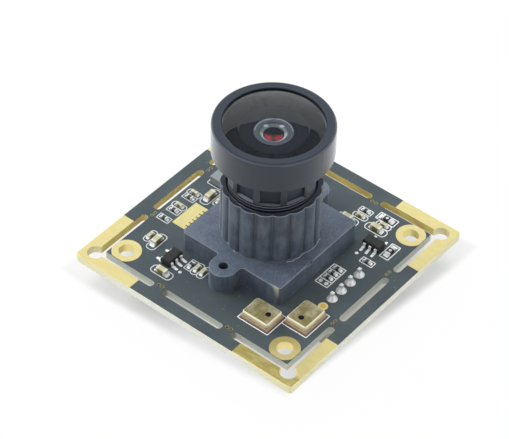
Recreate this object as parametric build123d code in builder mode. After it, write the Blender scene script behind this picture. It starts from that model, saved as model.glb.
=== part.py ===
"""Board camera module: routed circuit board, scalloped lens holder and screw-in wide-angle lens.

Millimetres, +Z up. The origin is the middle of the board's underside, where it sits on its standoffs.
"""
import os
from math import cos, radians, sin

from build123d import *

os.makedirs("parts", exist_ok=True)

# Circuit board: an inner board held in an outer frame by eight break-away tabs
inner_side = 32.0
board_thickness = 1.2
slot_width = 1.1
rail_width = 1.9
mid_slot_length = 10.4
tab_length = 1.7
panel_corner_radius = 0.45
frame_hole_radius = 1.2
frame_hole_inset = 2.0
mount_hole_radius = 1.15
mount_hole_inset = 2.0
bite_radius = 0.2
bite_pitch = 0.65

# Copper on the board
copper_thickness = 0.05
plating_clearance = 0.02
mount_pad_radius = 2.12
corner_pad_length = 10.0
edge_setback = 0.1
contact_pad_length = 5.16
contact_pad_width = 2.26
contact_pad_place = (-11.83, -3.08)
contact_notch_radius = 0.13
contact_notch_pitch = 0.73
contact_notch_count = 6
test_pad_radius = 0.7
test_pad_place = (13.1, -4.7)
bare_pad_radius = 0.3

# Lens holder: square base, two ears and a tower, above the board's top face
holder_side = 17.1
holder_height = 3.27
holder_corner_radius = 0.5
holder_edge = 0.1
ear_pitch = 20.0
ear_radius = 2.0
ear_blend_radius = 0.5
pilot_radius = 0.725
tower_height = 11.85
tower_crown_radius = 7.0
lobe_depth = 0.28
lobe_count = 18
bore_radius = 6.0
bore_chamfer = 0.4
cavity_side = 13.4
cavity_height = 2.2
shelf_thickness = 0.7
shelf_opening_radius = 4.0

# Holder screws, driven from below
screw_clearance_radius = 0.85
screw_shank_radius = 0.7
screw_reach = 2.6
screw_tip_length = 0.6
screw_head_radius = 1.3
screw_head_height = 0.9
screw_recess_radius = 0.45
screw_recess_depth = 0.5

# Image sensor and the filter over it
sensor_side = 9.0
sensor_height = 1.1
sensor_glass_side = 7.4
sensor_glass_thickness = 0.4
filter_side = 9.4
filter_thickness = 0.3

# Lens barrel: heights are above the board's top face
thread_clearance = 0.05
lens_rear_height = 4.0
head_base_height = 17.7
head_top_height = 22.4
head_radius = 8.35
head_edge_radius = 0.35
rim_radius = 7.05
rim_flare_length = 0.2
grip_floor_height = 12.8
grip_top_height = 16.4
grip_width = 2.78
grip_depth = 0.55
grip_count = 10
grip_phase = -54.0

# Glass and rings in the barrel, from the front
glass_clearance = 0.05
front_radius = 6.85
front_seat_depth = 1.2
front_edge_thickness = 1.0
front_dome_rise = 1.4
front_bowl_radius = 3.8
front_bowl_rise = 1.15
bezel_bore_radius = 4.7
bezel_top_drop = 0.4
second_radius = 2.7
second_top_gap = 0.4
second_thickness = 2.2
second_bowl_radius = 2.0
second_bowl_depth = 0.9
stop_thickness = 0.2
stop_opening_radius = 1.2
third_radius = 3.85
third_air_gap = 1.0
third_edge_thickness = 1.4
third_rise = 0.8
web_thickness = 0.8
web_opening_radius = 3.2
rear_bore_radius = 4.7
rear_glass_thickness = 2.4
rear_glass_rise = 0.5
spacer_length = 2.6
spacer_wall = 0.65
retainer_length = 1.5

# Microphones: a metal can on a laminate base
microphone_length = 4.72
microphone_width = 3.76
microphone_base_height = 0.3
microphone_height = 1.25
can_inset = 0.12
can_lip = 0.14
can_corner_radius = 0.4
can_edge = 0.16
sound_hole_radius = 0.33
sound_hole_depth = 0.4
sound_hole_offset = 1.0
microphone_places = [(8.15, -11.6, 0), (12.85, -8.15, -90)]

# Voltage regulators: moulded body and five bent leads
regulator_length = 2.9
regulator_width = 1.6
regulator_height = 1.1
regulator_standoff = 0.1
regulator_lead_pitch = 0.95
regulator_span = 2.8
regulator_lead_width = 0.4
regulator_places = [(-8.15, -11.3, 90), (11.35, 8.9, 0)]

# Leads of moulded packages
lead_thickness = 0.15
lead_foot = 0.45
mould_draft = 0.1

# Chip parts: length, width, height and end length of each size
small_chip = (1.0, 0.5, 0.5, 0.25)
large_chip = (1.6, 0.8, 0.8, 0.35)
small_capacitor_places = [(-13.43, -9.68, 90), (-4.3, -10.35, 90), (-3.2, -10.35, 90), (-14.3, -2.53, 0),
                          (-14.3, 0.75, 0), (6.3, 12.45, 0), (9.95, 13.05, 0), (-10.7, 2.0, 90)]
large_capacitor_places = [(-12.0, -10.0, 90), (-7.57, -14.0, 0), (-12.2, 1.7, 90), (9.6, 11.75, 0),
                          (5.25, 10.8, 0)]
bank_x = 10.32
bank_pitch = 1.06
bank_top = 2.12
resistor_places = [(-5.4, -10.35, 90), (-14.3, -5.79, 0), (-14.3, -3.7, 0), (-14.3, -0.31, 0),
                   (6.3, 13.75, 0), (12.57, 5.87, 0)]
resistor_places += [(bank_x, bank_top - row * bank_pitch, 0) for row in range(3)]
resistor_height = 0.35
bead_places = [(9.6, 14.35, 0), (13.75, 9.5, 90)]
bead_height = 0.35

# Power inductor
inductor_length = 2.5
inductor_width = 2.0
inductor_height = 1.2
inductor_place = (-12.95, 5.0)

# Header on the underside: four pins soldered from the top
header_x = 13.15
header_y = 0.25
pin_pitch = 2.0
pin_count = 4
pin_side = 0.5
pin_above_board = 1.3
pin_hole_radius = 0.45
header_length = 9.9
header_width = 4.5
header_height = 6.0
header_wall = 0.6
header_floor = 1.3
header_slot_width = 1.2
header_slot_depth = 3.4
pin_recess = 1.0
solder_radius = 0.78
solder_height = 0.62
solder_top_radius = 0.34

# Packages on the underside
processor_side = 7.0
processor_height = 0.85
processor_place = (-3.4, 2.6)
memory_length = 5.2
memory_width = 5.3
memory_height = 1.7
memory_span = 7.9
memory_lead_pitch = 1.27
memory_place = (-6.2, -6.4)
crystal_length = 3.2
crystal_width = 2.5
crystal_height = 0.75
crystal_lid_inset = 0.2
crystal_base_height = 0.3
crystal_place = (4.3, 3.6)
under_capacitor_places = [(-8.6, 5.6, 90), (-8.6, 3.6, 90), (-8.6, 1.6, 90), (-5.4, 8.0, 0), (-2.2, 8.0, 0),
                          (2.2, 0.6, 90), (4.6, 6.2, 0), (6.6, 3.6, 90), (3.2, -5.6, 0), (3.2, -7.0, 0)]

# Worked out from the sizes above
board_top = board_thickness
inner_half = inner_side / 2
panel_side = inner_side + 2 * (slot_width + rail_width)
frame_hole_pitch = panel_side - 2 * frame_hole_inset
mount_hole_pitch = inner_side - 2 * mount_hole_inset
corner_pad_start = panel_side / 2 - corner_pad_length
slot_centre = inner_half + slot_width / 2
frame_inner_half = inner_half + slot_width
corner_slot_start = mid_slot_length / 2 + tab_length
corner_slot_length = frame_inner_half - corner_slot_start
corner_slot_centre = (frame_inner_half + corner_slot_start) / 2
tab_centre = (mid_slot_length + tab_length) / 2
thread_radius = bore_radius - thread_clearance
front_seat_height = head_top_height - front_seat_depth
second_top_height = front_seat_height - second_top_gap
second_base_height = second_top_height - second_thickness
stop_height = second_base_height - stop_thickness
third_seat_height = stop_height - third_air_gap - third_rise - third_edge_thickness
pin_places = [(header_x, header_y + (row - (pin_count - 1) / 2) * pin_pitch) for row in range(pin_count)]
bare_pad_offset = small_chip[0] / 2
bare_row_y = bank_top - 3 * bank_pitch
plated_hole_radius = mount_hole_radius + copper_thickness + plating_clearance


def save(part, name):
    """Label a finished piece and write it under the name of its node."""
    part.label = name
    export_step(part, f"parts/{name}.step")


def spin(x, y, angle, height):
    """A place on the board: position, turn about Z, and height."""
    return Location((x, y, height), (0, 0, angle))


def under(x, y, angle=0):
    """A place on the underside, turned over about its own X axis."""
    return Location((x, y, 0), (0, 0, angle)) * Location((0, 0, 0), (180, 0, 0))


# Circuit board
with BuildPart() as board:
    with BuildSketch() as panel:
        RectangleRounded(panel_side, panel_side, panel_corner_radius)
        with PolarLocations(0, 4):
            with Locations((slot_centre, 0)):
                SlotOverall(mid_slot_length, slot_width, rotation=90, mode=Mode.SUBTRACT)
            with Locations((slot_centre, corner_slot_centre), (slot_centre, -corner_slot_centre)):
                SlotOverall(corner_slot_length, slot_width, rotation=90, mode=Mode.SUBTRACT)
            with Locations((inner_half, tab_centre), (inner_half, -tab_centre)):
                with GridLocations(1, bite_pitch, 1, 2):
                    Circle(bite_radius, mode=Mode.SUBTRACT)
        with GridLocations(frame_hole_pitch, frame_hole_pitch, 2, 2):
            Circle(frame_hole_radius, mode=Mode.SUBTRACT)
        with GridLocations(mount_hole_pitch, mount_hole_pitch, 2, 2):
            Circle(plated_hole_radius, mode=Mode.SUBTRACT)
        with GridLocations(1, ear_pitch, 1, 2):
            Circle(screw_clearance_radius, mode=Mode.SUBTRACT)
        with Locations(*pin_places):
            Circle(pin_hole_radius, mode=Mode.SUBTRACT)
    extrude(amount=board_thickness)
save(board.part, "circuit_board")

# Gold corner pads on the outer frame
with BuildPart() as corner_pads:
    with BuildSketch(Plane.XY.offset(board_top)) as corner_outline:
        RectangleRounded(panel_side - 2 * edge_setback, panel_side - 2 * edge_setback, panel_corner_radius)
        Rectangle(2 * frame_inner_half, 2 * frame_inner_half, mode=Mode.SUBTRACT)
        Rectangle(2 * corner_pad_start, panel_side, mode=Mode.SUBTRACT)
        Rectangle(panel_side, 2 * corner_pad_start, mode=Mode.SUBTRACT)
        with GridLocations(frame_hole_pitch, frame_hole_pitch, 2, 2):
            Circle(frame_hole_radius, mode=Mode.SUBTRACT)
    extrude(amount=copper_thickness)
save(corner_pads.part, "corner_pads")

# Gold contact pad with its row of small notches
with BuildPart() as contact_pad:
    with BuildSketch(Plane.XY.offset(board_top)) as contact_outline:
        with Locations(contact_pad_place):
            Rectangle(contact_pad_width, contact_pad_length)
            with Locations((contact_pad_width / 2, 0)):
                with GridLocations(1, contact_notch_pitch, 1, contact_notch_count):
                    Circle(contact_notch_radius, mode=Mode.SUBTRACT)
    extrude(amount=copper_thickness)
save(contact_pad.part, "contact_pad")

# Round test pad, and the two bare pads of the empty place in the resistor bank
with BuildPart() as test_pads:
    with BuildSketch(Plane.XY.offset(board_top)) as test_outline:
        with Locations(test_pad_place):
            Circle(test_pad_radius)
        with Locations((bank_x, bare_row_y)):
            with GridLocations(2 * bare_pad_offset, 1, 2, 1):
                Circle(bare_pad_radius)
    extrude(amount=copper_thickness)
save(test_pads.part, "test_pads")

# Plated mounting holes: a sleeve through the board with a ring on each face
with BuildPart() as hole_plating:
    with BuildSketch(Plane.XY.offset(-copper_thickness)) as sleeve_outline:
        with GridLocations(mount_hole_pitch, mount_hole_pitch, 2, 2):
            Circle(mount_hole_radius + copper_thickness)
            Circle(mount_hole_radius, mode=Mode.SUBTRACT)
    extrude(amount=board_thickness + 2 * copper_thickness)
    with BuildSketch(Plane.XY.offset(board_top), Plane.XY.offset(-copper_thickness)) as ring_outline:
        with GridLocations(mount_hole_pitch, mount_hole_pitch, 2, 2):
            Circle(mount_pad_radius)
            Circle(mount_hole_radius, mode=Mode.SUBTRACT)
        Rectangle(inner_side - edge_setback, inner_side - edge_setback, mode=Mode.INTERSECT)
    extrude(amount=copper_thickness)
save(hole_plating.part, "hole_plating")


def lobed_outline(crown_radius, depth, count):
    """A closed ring of equal outward arcs; the first crown lies on +X."""
    step = 360 / count

    def at(radius, turn):
        return (radius * cos(radians(turn)), radius * sin(radians(turn)))

    with BuildLine() as ring:
        for lobe in range(count):
            start = at(crown_radius - depth, (lobe - 0.5) * step)
            crown = at(crown_radius, lobe * step)
            end = at(crown_radius - depth, (lobe + 0.5) * step)
            ThreePointArc(start, crown, end)
    return ring.line


# Lens holder
with BuildPart() as holder:
    with BuildSketch(Plane.XY.offset(board_top)) as base_outline:
        RectangleRounded(holder_side, holder_side, holder_corner_radius)
        with GridLocations(1, ear_pitch, 1, 2):
            Circle(ear_radius)
        Rectangle(2 * ear_radius, ear_pitch)
        ear_roots = base_outline.vertices().filter_by(
            lambda v: abs(abs(v.X) - ear_radius) < 1e-6 and abs(abs(v.Y) - holder_side / 2) < 1e-6)
        fillet(ear_roots, ear_blend_radius)
    extrude(amount=holder_height)
    chamfer(holder.faces().sort_by(Axis.Z)[-1].outer_wire().edges(), holder_edge)
    with BuildSketch(Plane.XY.offset(board_top + holder_height)) as tower_outline:
        with BuildLine():
            add(lobed_outline(tower_crown_radius, lobe_depth, lobe_count))
        make_face()
    extrude(amount=tower_height - holder_height)
    with BuildSketch(Plane.XY.offset(board_top)) as cavity_outline:
        Rectangle(cavity_side, cavity_side)
    extrude(amount=cavity_height, mode=Mode.SUBTRACT)
    with BuildSketch(Plane.XY.offset(board_top)) as shelf_outline:
        Circle(shelf_opening_radius)
    extrude(amount=tower_height, mode=Mode.SUBTRACT)
    with BuildSketch(Plane.XY.offset(board_top + cavity_height + shelf_thickness)) as bore_outline:
        Circle(bore_radius)
    extrude(amount=tower_height, mode=Mode.SUBTRACT)
    mouth = holder.edges().filter_by(GeomType.CIRCLE).group_by(Axis.Z)[-1].sort_by(SortBy.RADIUS)
    chamfer(mouth.filter_by(lambda e: abs(e.radius - bore_radius) < 1e-6), bore_chamfer)
    with BuildSketch(Plane.XY.offset(board_top)) as pilot_outline:
        with GridLocations(1, ear_pitch, 1, 2):
            Circle(pilot_radius)
    extrude(amount=holder_height, mode=Mode.SUBTRACT)
save(holder.part, "lens_holder")

# Holder screws: head under the board, point up in the ear
with BuildPart() as screws:
    with GridLocations(1, ear_pitch, 1, 2):
        with Locations((0, 0, -screw_head_height)):
            Cylinder(screw_head_radius, screw_head_height, align=(Align.CENTER, Align.CENTER, Align.MIN))
            Cylinder(screw_recess_radius, screw_recess_depth, align=(Align.CENTER, Align.CENTER, Align.MIN),
                     mode=Mode.SUBTRACT)
        Cylinder(screw_shank_radius, board_top + screw_reach - screw_tip_length,
                 align=(Align.CENTER, Align.CENTER, Align.MIN))
        with Locations((0, 0, board_top + screw_reach - screw_tip_length)):
            Cone(screw_shank_radius, screw_recess_radius / 2, screw_tip_length,
                 align=(Align.CENTER, Align.CENTER, Align.MIN))
save(screws.part, "holder_screws")

# Image sensor, its cover glass, and the infra-red filter under the holder's shelf
with BuildPart() as sensor:
    with BuildSketch(Plane.XY.offset(board_top)) as sensor_outline:
        Rectangle(sensor_side, sensor_side)
    extrude(amount=sensor_height)
save(sensor.part, "image_sensor")

with BuildPart() as sensor_glass:
    with BuildSketch(Plane.XY.offset(board_top + sensor_height)) as sensor_glass_outline:
        Rectangle(sensor_glass_side, sensor_glass_side)
    extrude(amount=sensor_glass_thickness)
save(sensor_glass.part, "sensor_glass")

with BuildPart() as infrared_filter:
    with BuildSketch(Plane.XY.offset(board_top + cavity_height - filter_thickness)) as filter_outline:
        Rectangle(filter_side, filter_side)
    extrude(amount=filter_thickness)
save(infrared_filter.part, "infrared_filter")


def up(height):
    """A height above the board's top face, in the frame's own Z."""
    return board_top + height


# Lens barrel: a turned section with a stepped bore, then the ring of grip pockets
with BuildPart() as barrel:
    with BuildSketch(Plane.XZ) as barrel_section:
        with BuildLine():
            outside = Polyline((rear_bore_radius, up(lens_rear_height)),
                               (thread_radius, up(lens_rear_height)),
                               (thread_radius, up(head_base_height)),
                               (head_radius, up(head_base_height)),
                               (head_radius, up(head_top_height - head_edge_radius)))
            edge = RadiusArc(outside @ 1, (head_radius - head_edge_radius, up(head_top_height)),
                             -head_edge_radius)
            Polyline(edge @ 1,
                     (rim_radius, up(head_top_height)),
                     (front_radius + glass_clearance, up(head_top_height - rim_flare_length)),
                     (front_radius + glass_clearance, up(front_seat_height)),
                     (bezel_bore_radius, up(front_seat_height)),
                     (bezel_bore_radius, up(stop_height)),
                     (third_radius + glass_clearance, up(stop_height)),
                     (third_radius + glass_clearance, up(third_seat_height)),
                     (web_opening_radius, up(third_seat_height)),
                     (web_opening_radius, up(third_seat_height - web_thickness)),
                     (rear_bore_radius, up(third_seat_height - web_thickness)),
                     outside @ 0)
        make_face()
    revolve(axis=Axis.Z)
    with BuildSketch(Plane.XY.offset(up(grip_floor_height))) as grip_outline:
        with PolarLocations(thread_radius, grip_count, start_angle=grip_phase):
            Rectangle(2 * grip_depth, grip_width)
    extrude(amount=grip_top_height - grip_floor_height, mode=Mode.SUBTRACT)
save(barrel.part, "lens_barrel")

# Front glass: domed outside, flat seat and a bowl inside
front_top = front_seat_height + front_edge_thickness
with BuildPart() as front_glass:
    with BuildSketch(Plane.XZ) as front_section:
        with BuildLine():
            bowl_top = (0, up(front_seat_height + front_bowl_rise))
            bowl_edge = (front_bowl_radius, up(front_seat_height))
            dome_edge = (front_radius, up(front_top))
            dome_top = (0, up(front_top + front_dome_rise))
            Line(dome_top, bowl_top)
            TangentArc(bowl_top, bowl_edge, tangent=(1, 0))
            Polyline(bowl_edge, (front_radius, up(front_seat_height)), dome_edge)
            TangentArc(dome_top, dome_edge, tangent=(1, 0))
        make_face()
    revolve(axis=Axis.Z)
save(front_glass.part, "front_glass")

# Stop plate, resting on the barrel's step
with BuildPart() as stop_plate:
    with BuildSketch(Plane.XY.offset(up(stop_height))) as stop_outline:
        Circle(bezel_bore_radius - glass_clearance)
        Circle(stop_opening_radius, mode=Mode.SUBTRACT)
    extrude(amount=stop_thickness)
save(stop_plate.part, "stop_plate")

# Bezel ring: fills the space round the second glass, its face dished towards it
with BuildPart() as bezel:
    with BuildSketch(Plane.XZ) as bezel_section:
        with BuildLine():
            bezel_inner = second_radius + glass_clearance
            bezel_outer = bezel_bore_radius - glass_clearance
            Polyline((bezel_inner, up(second_base_height)),
                     (bezel_outer, up(second_base_height)),
                     (bezel_outer, up(front_seat_height)),
                     (bezel_inner, up(front_seat_height - bezel_top_drop)),
                     close=True)
        make_face()
    revolve(axis=Axis.Z)
save(bezel.part, "bezel_ring")

# Second glass: flat rim and a deep bowl that faces the front glass
with BuildPart() as second_glass:
    with BuildSketch(Plane.XZ) as second_section:
        with BuildLine():
            second_base = up(second_base_height)
            second_bowl_floor = (0, up(second_top_height - second_bowl_depth))
            second_bowl_edge = (second_bowl_radius, up(second_top_height))
            TangentArc(second_bowl_floor, second_bowl_edge, tangent=(1, 0))
            Polyline(second_bowl_edge,
                     (second_radius, up(second_top_height)),
                     (second_radius, second_base),
                     (0, second_base),
                     second_bowl_floor)
        make_face()
    revolve(axis=Axis.Z)
save(second_glass.part, "second_glass")

# Third glass: flat below, domed above, on the web across the barrel
with BuildPart() as third_glass:
    with BuildSketch(Plane.XZ) as third_section:
        with BuildLine():
            third_top = (0, up(third_seat_height + third_edge_thickness + third_rise))
            third_edge = (third_radius, up(third_seat_height + third_edge_thickness))
            TangentArc(third_top, third_edge, tangent=(1, 0))
            Polyline(third_edge, (third_radius, up(third_seat_height)), (0, up(third_seat_height)), third_top)
        make_face()
    revolve(axis=Axis.Z)
save(third_glass.part, "third_glass")

# Rear glasses, the spacer between them and the ring that holds the stack, below the web
rear_radius = rear_bore_radius - glass_clearance
fourth_seat = third_seat_height - web_thickness
fifth_seat = fourth_seat - rear_glass_thickness - spacer_length


def rear_glass(seat):
    """A glass with a flat upper face at the seat and a domed lower one."""
    with BuildPart() as glass:
        with BuildSketch(Plane.XZ):
            with BuildLine():
                low = (0, up(seat - rear_glass_thickness - rear_glass_rise))
                low_edge = (rear_radius - spacer_wall, up(seat - rear_glass_thickness))
                TangentArc(low, low_edge, tangent=(1, 0))
                Polyline(low_edge, (rear_radius, up(seat - rear_glass_thickness)), (rear_radius, up(seat)),
                         (0, up(seat)), low)
            make_face()
        revolve(axis=Axis.Z)
    return glass.part


save(rear_glass(fourth_seat), "fourth_glass")
save(rear_glass(fifth_seat), "rear_glass")

with BuildPart() as spacer:
    with BuildSketch(Plane.XY.offset(up(fifth_seat))) as spacer_outline:
        Circle(rear_radius)
        Circle(rear_radius - spacer_wall, mode=Mode.SUBTRACT)
    extrude(amount=spacer_length)
save(spacer.part, "lens_spacer")

with BuildPart() as retainer:
    with BuildSketch(Plane.XY.offset(up(fifth_seat - rear_glass_thickness - retainer_length))) as ring_face:
        Circle(rear_radius)
        Circle(rear_radius - spacer_wall, mode=Mode.SUBTRACT)
    extrude(amount=retainer_length)
save(retainer.part, "rear_retainer")

# Microphones
with BuildPart() as microphone_bases:
    with Locations(*[spin(x, y, turn, board_top) for x, y, turn in microphone_places]):
        Box(microphone_length, microphone_width, microphone_base_height,
            align=(Align.CENTER, Align.CENTER, Align.MIN))
save(microphone_bases.part, "microphone_bases")

with BuildPart() as can:
    with BuildSketch(Plane.XY.offset(microphone_base_height)) as lip_outline:
        RectangleRounded(microphone_length - can_inset, microphone_width - can_inset, can_corner_radius)
    extrude(amount=can_lip)
    with BuildSketch(Plane.XY.offset(microphone_base_height)) as can_outline:
        RectangleRounded(microphone_length - 3 * can_inset, microphone_width - 3 * can_inset, can_corner_radius)
    extrude(amount=microphone_height - microphone_base_height)
    chamfer(can.faces().sort_by(Axis.Z)[-1].outer_wire().edges(), can_edge)
    with Locations((sound_hole_offset, 0, microphone_height - sound_hole_depth)):
        Cylinder(sound_hole_radius, sound_hole_depth, align=(Align.CENTER, Align.CENTER, Align.MIN),
                 mode=Mode.SUBTRACT)
with BuildPart() as microphone_cans:
    with Locations(*[spin(x, y, turn, board_top) for x, y, turn in microphone_places]):
        add(can.part)
save(microphone_cans.part, "microphone_cans")


def bent_lead(span, body_width, body_middle, width):
    """One lead on +Y of a package that stands on z = 0: foot, riser and the stub that enters the body."""
    with BuildPart() as lead:
        with BuildSketch(Plane.YZ.offset(-width / 2)):
            with BuildLine():
                heel = span / 2 - lead_foot
                half = lead_thickness / 2
                Polyline((span / 2, 0), (heel - half, 0), (heel - half, body_middle - half),
                         (body_width / 2, body_middle - half), (body_width / 2, body_middle + half),
                         (heel + half, body_middle + half), (heel + half, lead_thickness),
                         (span / 2, lead_thickness), close=True)
            make_face()
        extrude(amount=width)
    return lead.part


def moulded_body(length, width, height, standoff):
    """A moulded package: two drafted halves that meet at mid height."""
    middle = (height + standoff) / 2
    with BuildPart() as body:
        with BuildSketch(Plane.XY.offset(middle)):
            Rectangle(length, width)
        with BuildSketch(Plane.XY.offset(height)):
            Rectangle(length - 2 * mould_draft, width - 2 * mould_draft)
        loft()
        with BuildSketch(Plane.XY.offset(middle)):
            Rectangle(length, width)
        with BuildSketch(Plane.XY.offset(standoff)):
            Rectangle(length - 2 * mould_draft, width - 2 * mould_draft)
        loft()
    return body.part


# Voltage regulators: three leads on one long side and two on the other
regulator_body = moulded_body(regulator_length, regulator_width, regulator_height, regulator_standoff)
regulator_middle = (regulator_height + regulator_standoff) / 2
regulator_lead = bent_lead(regulator_span, regulator_width, regulator_middle, regulator_lead_width)
regulator_spots = [spin(x, y, turn, board_top) for x, y, turn in regulator_places]
regulator_lead_spots = [Location((column * regulator_lead_pitch, 0, 0), (0, 0, 180)) for column in (-1, 0, 1)]
regulator_lead_spots += [Location((column * regulator_lead_pitch, 0, 0)) for column in (-1, 1)]
with BuildPart() as regulator_bodies:
    with Locations(*regulator_spots):
        add(regulator_body)
save(regulator_bodies.part, "regulator_bodies")
with BuildPart() as regulator_leads:
    with Locations(*[spot * lead for spot in regulator_spots for lead in regulator_lead_spots]):
        add(regulator_lead)
save(regulator_leads.part, "regulator_leads")


def chips(name, spots, size, height=None):
    """A group of chip parts, as one node of bodies and one of their metal ends."""
    length, width, full_height, end_length = size
    full_height = height or full_height
    standing = (Align.CENTER, Align.CENTER, Align.MIN)
    with BuildPart() as bodies:
        with Locations(*spots):
            Box(length - 2 * end_length, width, full_height, align=standing)
    save(bodies.part, f"{name}_bodies")
    with BuildPart() as ends:
        with Locations(*spots):
            with Locations(((length - end_length) / 2, 0), ((end_length - length) / 2, 0)):
                Box(end_length, width, full_height, align=standing)
    save(ends.part, f"{name}_ends")


def on_board(places):
    """Places on the board's top face."""
    return [spin(x, y, turn, board_top) for x, y, turn in places]


chips("small_capacitor", on_board(small_capacitor_places), small_chip)
chips("large_capacitor", on_board(large_capacitor_places), large_chip)
chips("resistor", on_board(resistor_places), small_chip, resistor_height)
chips("ferrite", on_board(bead_places), large_chip, bead_height)
chips("under_capacitor", [under(x, y, turn) for x, y, turn in under_capacitor_places], small_chip)

# Power inductor
with BuildPart() as inductor:
    with Locations(spin(*inductor_place, 0, board_top)):
        Box(inductor_length, inductor_width, inductor_height, align=(Align.CENTER, Align.CENTER, Align.MIN))
    chamfer(inductor.edges().filter_by(Axis.Z), mould_draft)
save(inductor.part, "power_inductor")

# Header housing: an open box that hangs under the board, with two slots for the plug's ribs
with BuildPart() as header:
    with Locations((header_x, header_y, 0)):
        Box(header_width, header_length, header_height, align=(Align.CENTER, Align.CENTER, Align.MAX))
        with Locations((0, 0, -header_floor)):
            Box(header_width - 2 * header_wall, header_length - 2 * header_wall, header_height,
                align=(Align.CENTER, Align.CENTER, Align.MAX), mode=Mode.SUBTRACT)
    with Locations(*[(header_x + header_width / 2, y, -header_height)
                     for y in (header_y - header_length / 4, header_y + header_length / 4)]):
        Box(2 * header_wall, header_slot_width, header_slot_depth,
            align=(Align.CENTER, Align.CENTER, Align.MIN), mode=Mode.SUBTRACT)
    with Locations(*pin_places):
        Box(pin_side, pin_side, header_height, mode=Mode.SUBTRACT)
save(header.part, "header_housing")

with BuildPart() as header_pins:
    with Locations(*[(x, y, pin_recess - header_height) for x, y in pin_places]):
        Box(pin_side, pin_side, header_height - pin_recess + board_top + pin_above_board,
            align=(Align.CENTER, Align.CENTER, Align.MIN))
    chamfer(header_pins.faces().group_by(Axis.Z)[-1].edges(), pin_side / 4)
save(header_pins.part, "header_pins")

# Solder joints: cones round the pins, on the board's top face
with BuildPart() as solder_cone:
    Cone(solder_radius, solder_top_radius, solder_height, align=(Align.CENTER, Align.CENTER, Align.MIN))
    Box(pin_side, pin_side, 2 * pin_above_board, mode=Mode.SUBTRACT)
with BuildPart() as solder_joints:
    with Locations(*[(x, y, board_top) for x, y in pin_places]):
        add(solder_cone.part)
save(solder_joints.part, "solder_joints")

# Image processor, memory and crystal on the underside
with BuildPart() as processor:
    with Locations(under(*processor_place)):
        Box(processor_side, processor_side, processor_height, align=(Align.CENTER, Align.CENTER, Align.MIN))
    chamfer(processor.edges().filter_by(Axis.Z), mould_draft)
save(processor.part, "image_processor")

memory_body_solid = moulded_body(memory_length, memory_width, memory_height, regulator_standoff)
memory_middle = (memory_height + regulator_standoff) / 2
memory_lead_solid = bent_lead(memory_span, memory_width, memory_middle, regulator_lead_width)
memory_columns = [(column - 1.5) * memory_lead_pitch for column in range(4)]
memory_spot = under(*memory_place, 90)
with BuildPart() as memory_body:
    with Locations(memory_spot):
        add(memory_body_solid)
save(memory_body.part, "memory_body")
with BuildPart() as memory_leads:
    with Locations(*[memory_spot * Location((x, 0, 0), (0, 0, turn)) for x in memory_columns for turn in (0, 180)]):
        add(memory_lead_solid)
save(memory_leads.part, "memory_leads")

with BuildPart() as crystal:
    with Locations(under(*crystal_place)):
        Box(crystal_length, crystal_width, crystal_base_height, align=(Align.CENTER, Align.CENTER, Align.MIN))
        Box(crystal_length - 2 * crystal_lid_inset, crystal_width - 2 * crystal_lid_inset, crystal_height,
            align=(Align.CENTER, Align.CENTER, Align.MIN))
save(crystal.part, "crystal")
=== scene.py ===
# %% [markdown]
# # A board camera, dressed in Blender
#
# The CAD model of a small camera module is loaded as a fixed frame: a square circuit board, a scalloped
# plastic lens holder and a wide-angle lens that screws into it. This lesson gives each piece its finish and
# adds what is too fine for the solids, such as the white print, the solder and the lens thread. All lengths
# are in metres, in the same frame as the solids: the board's underside is at height zero.

import math

import bpy
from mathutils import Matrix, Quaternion, Vector


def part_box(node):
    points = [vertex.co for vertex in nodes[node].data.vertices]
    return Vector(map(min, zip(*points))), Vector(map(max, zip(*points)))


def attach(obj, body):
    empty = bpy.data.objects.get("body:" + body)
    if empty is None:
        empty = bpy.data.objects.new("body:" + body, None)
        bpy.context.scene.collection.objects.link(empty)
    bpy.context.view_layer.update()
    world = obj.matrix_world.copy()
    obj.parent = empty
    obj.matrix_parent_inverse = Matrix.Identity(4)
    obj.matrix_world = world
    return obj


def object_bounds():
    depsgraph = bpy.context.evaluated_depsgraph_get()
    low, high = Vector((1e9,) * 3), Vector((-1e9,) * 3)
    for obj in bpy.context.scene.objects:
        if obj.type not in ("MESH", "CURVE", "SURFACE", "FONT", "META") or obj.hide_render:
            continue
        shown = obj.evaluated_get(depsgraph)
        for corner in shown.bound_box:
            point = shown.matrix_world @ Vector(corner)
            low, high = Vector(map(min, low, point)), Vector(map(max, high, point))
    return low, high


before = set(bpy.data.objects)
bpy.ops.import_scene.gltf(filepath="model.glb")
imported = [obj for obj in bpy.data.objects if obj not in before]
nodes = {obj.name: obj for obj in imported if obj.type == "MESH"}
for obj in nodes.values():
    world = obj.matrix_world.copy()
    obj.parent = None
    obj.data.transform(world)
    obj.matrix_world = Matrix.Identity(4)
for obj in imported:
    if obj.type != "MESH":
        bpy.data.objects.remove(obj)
cad_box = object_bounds()
mm = 0.001
board_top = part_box("circuit_board")[1].z

# %% [markdown]
# ## The camera
#
# The photograph was taken from the board's front corner, about 44 degrees above it, with a long lens and a
# slight roll. The board's corners, slots and pads gave these values, so the render lies over the
# photograph.

# %% The camera
view_point = Vector((-4.557 * mm, 2.263 * mm, board_top))
view_distance = 315.15 * mm
view_azimuth = math.radians(38.142)
view_elevation = math.radians(44.241)
view_roll = math.radians(1.775)
focal_length = 159.18
film_width = 36.0

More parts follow.
